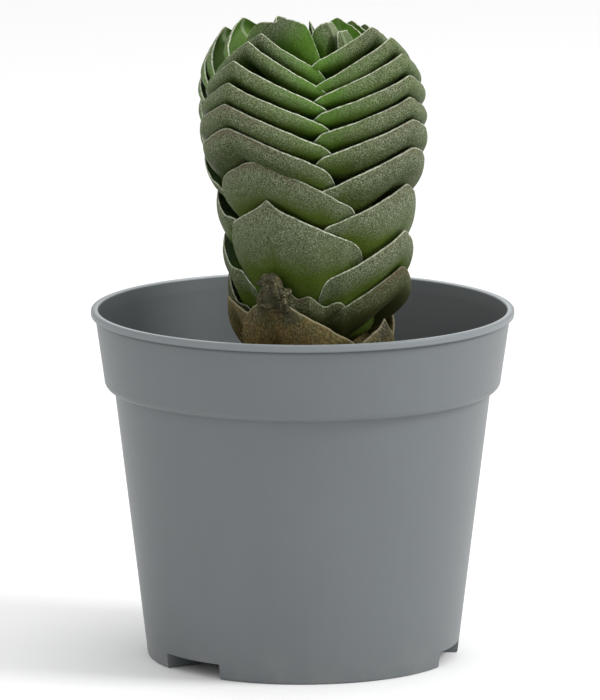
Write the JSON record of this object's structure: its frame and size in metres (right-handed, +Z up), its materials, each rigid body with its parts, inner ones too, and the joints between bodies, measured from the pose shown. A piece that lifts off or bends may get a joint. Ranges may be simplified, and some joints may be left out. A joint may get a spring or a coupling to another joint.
{
  "type": "potted crassula",
  "caption": "Square column succulent of stacked upturned leaves with frosted green faces and pale margins, withered leaves at its foot, in a plain round grey nursery pot.",
  "frame": {"origin": "middle of the pot's base, on the surface that the pot stands on", "axes": "+Z up along the pot's axis, -Y to the front of the pictured side"},
  "size_m": [0.105, 0.105, 0.1609],
  "materials": {
    "pot_plastic": "moulded satin grey plastic",
    "potting_mix": "coarse dark peat and bark with pale mineral grains",
    "green_leaf": "fleshy leaf with fine pale papillae, smooth and bright where leaves overlap",
    "dry_leaf": "withered brown and olive leaf"
  },
  "bodies": {
    "root": {"pot": "pot_plastic", "potting_mix": "potting_mix", "leafy_column": "green_leaf", "dry_leaves": "dry_leaf"}
  },
  "joints": []
}
